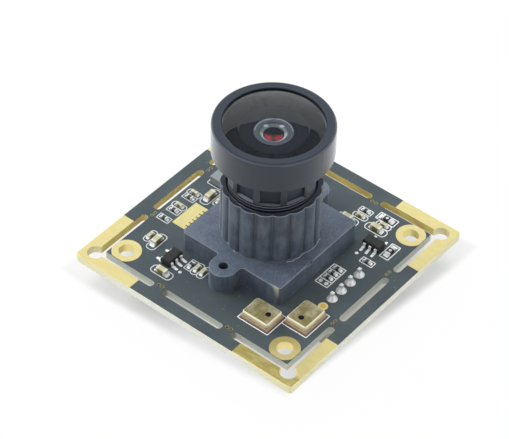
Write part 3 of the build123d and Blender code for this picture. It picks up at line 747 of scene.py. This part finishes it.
def make_second_glass():
    """The middle glass: frosted rim, pale ground ring, dark iris with a red coating, and painted light on all
    three.
    """
    finish = Finish("middle_glass_ground")
    place, (x, y, _) = finish.position()
    radius = distance(x, y)
    fine = place.noise(0.12 * mm, 3.0)
    sideways = x * math.cos(iris_turn) + y * math.sin(iris_turn)
    frontward = x * math.sin(iris_turn) - y * math.cos(iris_turn)
    off_middle = abs(sideways).spread(0.10 * mm, 0.50 * mm)
    front_half = frontward.spread(-0.35 * mm, 0.10 * mm)
    in_iris = 1.0 - radius.spread(iris_radius - 0.05 * mm, iris_radius + 0.05 * mm)
    in_ring = 1.0 - radius.spread(ring_radius - 0.06 * mm, ring_radius + 0.06 * mm)

    # Painted highlight: a thin pale arc on the far side of the rim.
    far_arc = radius.band(cup_radius - 0.12 * mm, cup_radius - 0.02 * mm, 0.04 * mm) * (1.0 - front_half)
    cup = coats(screen(58, 62, 66), (fine, screen(88, 92, 96)),
                (far_arc * off_middle * 0.7, screen(196, 198, 210)))
    # Painted light: the ground ring is paler on its near half.
    ground = front_half.mix(fine.mix(screen(104, 110, 106), screen(136, 140, 138)),
                            fine.mix(screen(168, 178, 172), screen(206, 212, 206)))
    # Painted reflection: red lobes of the coating on the iris's near half, dark green on its far half.
    coating = front_half.mix(fine.mix(screen(30, 34, 28), screen(56, 58, 50)),
                             off_middle.mix(screen(104, 70, 52), screen(200, 52, 70)))
    coating = radius.spread(1.08 * mm, 1.34 * mm).mix(coating, screen(30, 24, 34))
    tone = coats(cup, (in_ring, ground), (in_iris, coating))
    # Painted highlights: two glints on the rim.
    for side in (-1.0, 1.0):
        slanted = frontward + glint_back - sideways * side * 0.35
        glint = distance(sideways - side * glint_aside, slanted * 2.4)
        tone = (1.0 - glint.spread(0.22 * mm, 0.42 * mm)).mix(tone, screen(214, 214, 226))
    dished = place.stretch(-0.13 / mm, -0.13 / mm, 0.0).vector("ADD", (0.0, 0.0, 1.0)).vector("NORMALIZE")
    normal = finish.node("Mix", {"data_type": "VECTOR"},
                         {"Factor": in_iris, 4: finish.normal(), 5: dished}, 1)
    return finish.surface(Base_Color=tone, Metallic=in_iris, Roughness=0.35 - in_iris * 0.29, Normal=normal)


dress(make_barrel_finish(), "lens_barrel", "rear_retainer")
dress(make_inner_black(), "stop_plate", "bezel_ring", "lens_spacer")
dress(make_second_glass(), "second_glass")
dress(make_clear_glass("front_glass_clear", (0.92, 0.945, 0.965, 1), 1.52), "front_glass")
dress(make_clear_glass("inner_glass_clear", (0.80, 0.84, 0.82, 1), 1.6),
      "third_glass", "fourth_glass", "rear_glass", "sensor_glass")

# %% [markdown]
# ## Geometry Nodes in a few lines
#
# White print, solder and rings repeat dozens of times. Geometry Nodes make each group from a list of points
# that carry sizes and turns as attributes. Tree builds a node tree with named inputs; bake gives it the
# points, sets its inputs by their identifiers, and keeps the result as a plain mesh that rides on one body.


# %% Geometry Nodes helpers
class Tree:
    """A Geometry Nodes tree, built one node at a time."""

    def __init__(self, name, **numbers):
        self.tree = bpy.data.node_groups.new(name, "GeometryNodeTree")
        self.tree.interface.new_socket("Geometry", in_out="INPUT", socket_type="NodeSocketGeometry")
        self.tree.interface.new_socket("Geometry", in_out="OUTPUT", socket_type="NodeSocketGeometry")
        self.names = {}
        for key, value in numbers.items():
            kind = "NodeSocketObject" if isinstance(value, bpy.types.Object) else "NodeSocketFloat"
            self.names[key] = self.tree.interface.new_socket(key, in_out="INPUT", socket_type=kind).identifier
        self.numbers = numbers
        self.start = self.tree.nodes.new("NodeGroupInput")
        self.end = self.tree.nodes.new("NodeGroupOutput")

    def vector(self, operation, first, second):
        return self.node("ShaderNodeVectorMath", {"operation": operation}, {0: first, 1: second})

    def node(self, kind, settings=None, inputs=None, output=0):
        made = self.tree.nodes.new(kind)
        for key, value in (settings or {}).items():
            setattr(made, key, value)
        for key, value in (inputs or {}).items():
            if isinstance(value, bpy.types.NodeSocket):
                self.tree.links.new(value, made.inputs[key])
            else:
                made.inputs[key].default_value = value
        return made.outputs[output]

    def attribute(self, name, kind="FLOAT_VECTOR"):
        return self.node("GeometryNodeInputNamedAttribute", {"data_type": kind}, {"Name": name})

    def close(self, geometry, material):
        real = self.node("GeometryNodeRealizeInstances", None, {"Geometry": geometry})
        dressed = self.node("GeometryNodeSetMaterial", None, {"Geometry": real, "Material": material})
        self.tree.links.new(dressed, self.end.inputs[0])


def point_mesh(name, points):
    """Points with the attributes turn and size, from rows of place, turn about Z and size, in mm."""
    mesh = bpy.data.meshes.new(name)
    mesh.from_pydata([[c * mm for c in place] for place, _, _ in points], [], [])
    turns = mesh.attributes.new("turn", "FLOAT_VECTOR", "POINT")
    turns.data.foreach_set("vector", [c for _, turn, _ in points for c in (0.0, 0.0, turn)])
    sizes = mesh.attributes.new("size", "FLOAT_VECTOR", "POINT")
    sizes.data.foreach_set("vector", [c * mm for _, _, size in points for c in size])
    return mesh


def bake(name, tree, mesh, body):
    """Runs a tree on a mesh and keeps the result as a plain piece that rides on a body."""
    piece = bpy.data.objects.new(name, mesh)
    bpy.context.scene.collection.objects.link(piece)
    modifier = piece.modifiers.new("make", "NODES")
    modifier.node_group = tree.tree
    for key, identifier in tree.names.items():
        modifier[identifier] = tree.numbers[key]
    evaluated = piece.evaluated_get(bpy.context.evaluated_depsgraph_get())
    made = bpy.data.meshes.new_from_object(evaluated)
    piece.modifiers.remove(modifier)
    piece.data = made
    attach(piece, body)
    heights = [vertex.co.z / mm for vertex in made.vertices]
    print(name, "faces:", len(made.polygons), "z:", round(min(heights), 3), "to", round(max(heights), 3))
    return piece


# %% [markdown]
# ## Where the chips are
#
# The solids already hold every chip, so the print and the solder take their places from them. A CAD mesh is
# loose triangles, so the corners that share a place are joined first; each group of joined triangles is
# then one solid, and its box gives the place.


# %% Boxes of the solids in a node
def solid_boxes(name):
    """The lowest and highest corner of each separate solid of a node, in mm."""
    mesh = nodes[name].data
    keys = [tuple(round(c * 2e6) for c in vertex.co) for vertex in mesh.vertices]
    parent = {key: key for key in keys}

    def root(key):
        while parent[key] != key:
            parent[key] = parent[parent[key]]
            key = parent[key]
        return key

    for polygon in mesh.polygons:
        first, *rest = [keys[index] for index in polygon.vertices]
        for other in rest:
            parent[root(other)] = root(first)
    groups = {}
    for key in parent:
        groups.setdefault(root(key), []).append(key)
    boxes = [([min(axis) / 2000 for axis in zip(*group)], [max(axis) / 2000 for axis in zip(*group)])
             for group in groups.values()]
    return sorted(boxes)


def middle(box):
    return [(low + high) / 2 for low, high in zip(*box)]


def chip_rows(kind):
    """The middle and turn of each chip of a kind: turn is 0 along X and a quarter turn along Y."""
    ends = [middle(box) for box in solid_boxes(f"{kind}_ends")]
    rows = []
    for box in solid_boxes(f"{kind}_bodies"):
        x, y, _ = middle(box)
        nearest = min(ends, key=lambda end: (end[0] - x) ** 2 + (end[1] - y) ** 2)
        along_y = abs(nearest[1] - y) > abs(nearest[0] - x)
        rows.append((x, y, math.pi / 2 if along_y else 0.0))
    return rows


chip_kinds = {"small_capacitor": (1.0, 0.5, 0.42), "large_capacitor": (1.6, 0.8, 0.62),
              "resistor": (1.0, 0.5, 0.30), "ferrite": (1.6, 0.8, 0.45)}
chip_places = {kind: chip_rows(kind) for kind in chip_kinds}
print({kind: len(rows) for kind, rows in chip_places.items()})

# %% [markdown]
# ## White print
#
# Every chip is boxed by a line of white ink: square corners round a resistor or a bead, round ends round a
# capacitor. The tree puts a one-metre square curve on each point, scales it to the point's size, rounds its
# corners by a radius attribute, and sweeps a flat ribbon along it. The bank of resistors at the right has
# bolder lines, so it gets its outlines twice, the second a little wider. Neighbours share a line, so each
# outline lies a little higher than the one before it: two faces in the very same place would come out
# black.

# %% White print outlines
line_width = 0.15
line_height = 0.016
line_lift = 0.0006
board_z = board_top / mm
outline_sizes = {"small_capacitor": (2.36, 1.02, 0.42), "large_capacitor": (3.45, 1.42, 0.56),
                 "resistor": (2.04, 1.06, 0.06), "ferrite": (3.05, 1.42, 0.08)}
bank_left = 9.0
bank_half = 3.0
bank_growth = 0.04

outlines = [((x, y), turn, outline_sizes[kind])
            for kind, rows in chip_places.items() for x, y, turn in rows]
bare_boxes = [box for box in solid_boxes("test_pads") if box[1][0] - box[0][0] < 0.9]
bare_place = tuple(sum(middle(box)[axis] for box in bare_boxes) / 2 for axis in (0, 1))
outlines.append((bare_place, 0.0, outline_sizes["resistor"]))
for name, border, rounding in (("microphone_bases", 0.42, 0.05), ("power_inductor", 0.6, 0.3)):
    for (x0, y0, _), (x1, y1, _) in solid_boxes(name):
        size = (x1 - x0 + border, y1 - y0 + border, rounding)
        outlines.append((((x0 + x1) / 2, (y0 + y1) / 2), 0.0, size))
bank = [((x, y), turn, size) for (x, y), turn, size in outlines
        if x > bank_left and abs(y) < bank_half and size == outline_sizes["resistor"]]
outlines += [(place, turn, (length + bank_growth, width + bank_growth, rounding))
             for place, turn, (length, width, rounding) in bank]
outlines = [((x, y, board_z + line_lift * row), turn, size)
            for row, ((x, y), turn, size) in enumerate(outlines)]


def make_ink():
    """White ink, with painted light that makes it whiter towards the right."""
    finish = Finish("white_ink")
    place, (x, _, _) = finish.position()
    fine = place.noise(0.05 * mm, 4.0, 0.65)
    # Painted light: the ink turns whiter from x = 2 mm to 8 mm.
    tone = coats(screen(212, 216, 216), (fine.spread(0.35, 0.8), screen(236, 238, 238)),
                 (x.spread(2.0 * mm, 8.0 * mm), screen(253, 255, 255)))
    return finish.surface(Base_Color=tone, Roughness=0.55, Normal=fine.bump(0.004 * mm, 0.6))


ink = make_ink()
tree = Tree("white_print", line_width=line_width * mm, line_height=line_height * mm)
square = tree.node("GeometryNodeCurvePrimitiveQuadrilateral", None, {"Width": 1.0, "Height": 1.0})
flat_size = tree.vector("MULTIPLY", tree.attribute("size"), (1.0, 1.0, 0.0))
placed = tree.node("GeometryNodeInstanceOnPoints", None,
                   {"Points": tree.start.outputs["Geometry"], "Instance": square,
                    "Rotation": tree.attribute("turn"),
                    "Scale": tree.vector("ADD", flat_size, (0.0, 0.0, 1.0))})
placed = tree.node("GeometryNodeRealizeInstances", None, {"Geometry": placed})
corner = tree.node("ShaderNodeSeparateXYZ", None, {0: tree.attribute("size")}, 2)
rounded = tree.node("GeometryNodeFilletCurve", {"mode": "POLY"},
                    {"Curve": placed, "Count": 6, "Radius": corner})
level = tree.node("GeometryNodeSetCurveNormal", {"mode": "Z_UP"}, {"Curve": rounded})
ribbon = tree.node("GeometryNodeCurvePrimitiveQuadrilateral", None,
                   {"Width": tree.start.outputs["line_width"], "Height": tree.start.outputs["line_height"]})
tree.close(tree.node("GeometryNodeCurveToMesh", None, {"Curve": level, "Profile Curve": ribbon}), ink)
bake("white_print", tree, point_mesh("print_points", outlines), "module")

# %% [markdown]
# ## Print dots and ticks, and rings round the small holes
#
# A stamp is a small mesh that is put on every point, turned and scaled. One tree does this for every kind
# of stamp: dots and ticks of ink here, then solder, each with its own stamp and points.


# %% Stamps
def stamp_mesh(name, vertices, faces):
    """A stamp: a closed mesh in units of one, kept off the scene and used only by the trees."""
    mesh = bpy.data.meshes.new(name)
    mesh.from_pydata(vertices, [], faces)
    return bpy.data.objects.new(name, mesh)


def turned_stamp(name, section, ring=False, count=20):
    """A stamp turned about Z from (radius, height) points: a ring, or a body with a flat foot and top."""
    angles = [2 * math.pi * step / count for step in range(count)]
    vertices = [(radius * math.cos(angle), radius * math.sin(angle), height)
                for radius, height in section for angle in angles]
    rows = len(section)
    faces = [(row * count + step, row * count + (step + 1) % count,
              (row + 1) % rows * count + (step + 1) % count, (row + 1) % rows * count + step)
             for row in range(rows if ring else rows - 1) for step in range(count)]
    if not ring:
        faces.append(tuple(reversed(range(count))))
        faces.append(tuple(range((rows - 1) * count, rows * count)))
    return stamp_mesh(name, vertices, faces)


def ring_stamp(name, inside):
    """A flat ring of radius one and height one, with a hole of the given radius."""
    return turned_stamp(name, [(1.0, 0.0), (1.0, 1.0), (inside, 1.0), (inside, 0.0)], ring=True)


def stamp_points(name, stamp, points, material, body):
    """Puts a stamp on every point and keeps the result as one piece."""
    tree = Tree(name, stamp=stamp)
    shape = tree.node("GeometryNodeObjectInfo", None, {"Object": tree.start.outputs["stamp"]}, "Geometry")
    placed = tree.node("GeometryNodeInstanceOnPoints", None,
                       {"Points": tree.start.outputs["Geometry"], "Instance": shape,
                        "Rotation": tree.attribute("turn"), "Scale": tree.attribute("size")})
    tree.close(placed, material)
    return bake(name, tree, point_mesh(name + "_points", points), body)


disc_stamp = turned_stamp("disc_stamp", [(1.0, 0.0), (1.0, 0.8), (0.9, 1.0)])
bar_corners = [(x, y, z) for z in (0.0, 1.0)
               for x, y in ((-0.5, -0.5), (0.5, -0.5), (0.5, 0.5), (-0.5, 0.5))]
bar_faces = [(3, 2, 1, 0), (4, 5, 6, 7), (0, 1, 5, 4), (1, 2, 6, 5), (2, 3, 7, 6), (3, 0, 4, 7)]
bar_stamp = stamp_mesh("bar_stamp", bar_corners, bar_faces)

dots = [((x, y, board_z), 0.0, (0.25, 0.25, line_height)) for x, y in ((-5.75, -12.34), (10.35, 6.35))]
stamp_points("print_dots", disc_stamp, dots, ink, "module")
ticks = [((x, y, board_z), 0.0, (length, width, line_height))
         for x, y, length, width in ((-9.42, -9.95, line_width, 0.75), (-9.42, -11.95, line_width, 0.80),
                                     (-9.15, -12.52, 0.60, line_width))]
stamp_points("print_ticks", bar_stamp, ticks, ink, "module")

# %% [markdown]
# ## Solder
#
# Reflowed solder climbs each chip's end in a hollow curve and runs out on its pad. The stamp is that
# fillet, in units of one: high and full width where it meets the chip, low and rounded where it ends. Its
# points sit at the chips' ends, turned to face outwards. The regulators' feet get the same stamp, smaller.


# %% Solder fillets
def fillet_stamp(name, steps=6, lanes=6):
    """A solder fillet from x = 0, height 1, to x = 1, height near 0; its plan narrows to a round toe."""
    vertices = []
    for layer in range(2):
        for step in range(steps + 1):
            x = step / steps
            half = 0.5 * math.sqrt(max(0.0, 1.0 - 0.5 * x ** 6))
            for lane in range(lanes + 1):
                side = 2 * lane / lanes - 1
                crown = 1.0 - 0.25 * side ** 6
                height = (0.12 + 0.56 * (1.0 - x) ** 2.4) * crown * (1.0 - 0.7 * x ** 8) + 0.02
                vertices.append((x, half * side, height if layer else 0.0))
    row = lanes + 1
    layer_size = row * (steps + 1)
    faces = []
    for step in range(steps):
        for lane in range(lanes):
            a = step * row + lane
            faces.append((a, a + 1, a + row + 1, a + row))
            faces.append((a + layer_size, a + layer_size + row, a + layer_size + row + 1, a + layer_size + 1))
    rim = [lane for lane in range(row)]
    rim += [step * row + lanes for step in range(1, steps + 1)]
    rim += [steps * row + lane for lane in range(lanes - 1, -1, -1)]
    rim += [step * row for step in range(steps - 1, 0, -1)]
    for first, second in zip(rim, rim[1:] + rim[:1]):
        faces.append((second, first, first + layer_size, second + layer_size))
    return stamp_mesh(name, vertices, faces)


solder_stamp = fillet_stamp("solder_stamp")
solder = metal("reflowed_solder", (252, 254, 252), 0.30, 0.10, 0.012, 0.25, 0.15)
joint_solder = metal("joint_solder", (252, 254, 252), 0.22, 0.42, 0.11, 0.2, 0.45)
dress(joint_solder, "solder_joints", "header_pins")
foot_toe = (0.50, 0.42, 0.12)
toes = []
for kind, rows in chip_places.items():
    length, width, height = chip_kinds[kind]
    for x, y, turn in rows:
        for angle in (turn, turn + math.pi):
            place = (x + length / 2 * math.cos(angle), y + length / 2 * math.sin(angle), board_z)
            toes.append((place, angle, (0.13 + 0.16 * length, width * 1.08, height)))
bodies = [middle(box) for box in solid_boxes("regulator_bodies")]
for low, high in solid_boxes("regulator_leads"):
    x, y, _ = middle((low, high))
    body = min(bodies, key=lambda place: (place[0] - x) ** 2 + (place[1] - y) ** 2)
    if high[0] - low[0] > high[1] - low[1]:
        x, angle = (high[0], 0.0) if x > body[0] else (low[0], math.pi)
    else:
        y, angle = (high[1], math.pi / 2) if y > body[1] else (low[1], -math.pi / 2)
    toes.append(((x, y, board_z), angle, foot_toe))
stamp_points("solder_fillets", solder_stamp, toes, solder, "module")
print("solder fillets:", len(toes))

# %% [markdown]
# ## Mouse bites
#
# The tabs between the inner board and its frame are perforated by pairs of small holes, so that the frame
# can be snapped off. Each hole keeps a faint ring of bare metal.

# %% Rings of the mouse bites
bite_middle = 16.0
tab_middle = 6.05
bite_step = 0.325
bite_ring = (0.28, 0.28, 0.012)

bites = []
for quarter in range(4):
    turn = Quaternion((0, 0, 1), quarter * math.pi / 2)
    for side in (-1, 1):
        for step in (-1, 1):
            place = turn @ Vector((bite_middle, side * tab_middle + step * bite_step, board_z))
            bites.append((tuple(place), 0.0, bite_ring))
dull_gold = metal("dull_gold", (190, 172, 92), 0.5, 0.06, 0.004, 0.4, 0.4)
stamp_points("bite_rings", ring_stamp("bite_ring_stamp", 0.80), bites, dull_gold, "module")

# %% [markdown]
# ## Marks of the beads
#
# Each ferrite bead carries a small white ring on its top, and the print round it has a second line at one
# end, which says which way round it goes. The same ring stamp and bar stamp make both.

# %% Bead marks
bead_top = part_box("ferrite_bodies")[1].z / mm
end_reach = outline_sizes["ferrite"][0] / 2 - 0.27
marks = []
end_bars = []
for x, y, turn in chip_places["ferrite"]:
    marks.append(((x, y, bead_top), 0.0, (0.20, 0.20, 0.008)))
    place = (x, y + end_reach, board_z) if turn else (x - end_reach, y, board_z)
    end_bars.append((place, turn, (line_width * 0.8, 1.30, line_height)))
stamp_points("bead_marks", ring_stamp("mark_ring_stamp", 0.45), marks, ink, "module")
stamp_points("bead_end_lines", bar_stamp, end_bars, ink, "module")

# %% [markdown]
# ## Sound ports, pad ticks and moulding flash
#
# Each microphone's can has a sound port: a shallow hollow with a darkened rim, whose near-black floor is
# painted shade for the open hole. The contact pad's inner edge is nicked by six small ticks. The holder
# came from a worn mould: thin white flash follows parts of the tower's foot, and a small tongue of plastic
# stands out from the base's right edge. Flash is a curve with a little noise, swept with a very thin round
# section.

# %% Ports and ticks
port_offset = 1.0
port_depth = 0.4
port_rim = 0.41
port_over = 0.008
tick_inset = 0.28
tick_step = 0.73
# Painted shade: the port's floor is near black where the real port is an open hole.
dark_port = matt_body("dark_port", (12, 11, 10), (26, 24, 22), 0.6, 0.05, 0.002, 0.0)
ports = []
for low, high in solid_boxes("microphone_cans"):
    x, y, _ = middle((low, high))
    along_x = high[0] - low[0] > high[1] - low[1]
    x, y = (x + port_offset, y) if along_x else (x, y - port_offset)
    ports.append(((x, y, high[2] - port_depth), 0.0, (port_rim, port_rim, port_depth + port_over)))
port_section = [(0.70, 0.0), (0.70, 0.985), (1.0, 0.985), (1.0, 1.0), (0.71, 1.0), (0.66, 0.74)]
stamp_points("sound_ports", turned_stamp("port_stamp", port_section), ports, dark_port, "module")

(_, pad_y0, _), (pad_x1, pad_y1, pad_top) = solid_boxes("contact_pad")[0]
pad_ticks = [((pad_x1 - tick_inset, (pad_y0 + pad_y1) / 2 + (row - 2.5) * tick_step, pad_top), 0.0,
              (0.30, 0.16, 0.01)) for row in range(6)]
tick_ink = matt_body("tick_dark", (96, 92, 60), (120, 112, 70), 0.5, 0.05, 0.002, 0.0)
stamp_points("pad_ticks", bar_stamp, pad_ticks, tick_ink, "module")

# %% Moulding flash
foot_height = board_z + 3.29
flash_lines = [
    [(-5.20, -4.30), (-4.38, -5.04), (-3.40, -5.80), (-2.46, -6.28), (-1.40, -6.78), (-0.38, -6.99)],
    [(6.70, 2.60), (6.84, 1.90), (7.10, 1.10), (7.21, 0.34), (6.95, -0.50), (6.77, -1.11), (6.80, -2.10),
     (6.54, -3.17), (6.06, -3.91)],
    [(-6.90, 1.60), (-6.75, 2.60), (-6.30, 3.40)],
]
flash_mesh = bpy.data.meshes.new("flash_lines")
corners = []
edges = []
for line in flash_lines:
    edges += [(len(corners) + step, len(corners) + step + 1) for step in range(len(line) - 1)]
    corners += [(x * mm, y * mm, foot_height * mm) for x, y in line]
flash_mesh.from_pydata(corners, edges, [])

flash_plastic = matt_body("flash_plastic", (206, 210, 220), (240, 242, 246), 0.4, 0.2, 0.004, 0.0)
tree = Tree("moulding_flash", thickness=0.038 * mm)
path = tree.node("GeometryNodeMeshToCurve", None, {"Mesh": tree.start.outputs["Geometry"]})
path = tree.node("GeometryNodeResampleCurve", {"mode": "LENGTH"}, {"Curve": path, "Length": 0.12 * mm})
wander = tree.node("ShaderNodeTexNoise", None, {"Scale": 1400.0, "Detail": 3.0}, "Color")
wander = tree.vector("SUBTRACT", wander, (0.5, 0.5, 0.5))
wander = tree.vector("MULTIPLY", wander, (0.3 * mm, 0.3 * mm, 0.04 * mm))
path = tree.node("GeometryNodeSetPosition", None, {"Geometry": path, "Offset": wander})
section = tree.node("GeometryNodeCurvePrimitiveCircle", {"mode": "RADIUS"},
                    {"Resolution": 6, "Radius": tree.start.outputs["thickness"]})
swept = tree.node("GeometryNodeCurveToMesh", None,
                  {"Curve": path, "Profile Curve": section, "Fill Caps": True})
tree.close(swept, flash_plastic)
bake("moulding_flash", tree, flash_mesh, "module")
tongue = [((8.60, -2.05, board_z + 3.10), 0.0, (0.26, 1.15, 0.10)),
          ((8.58, -1.72, board_z + 3.12), 0.0, (0.42, 0.38, 0.08))]
stamp_points("edge_tongue", bar_stamp, tongue, holder_finish, "module")
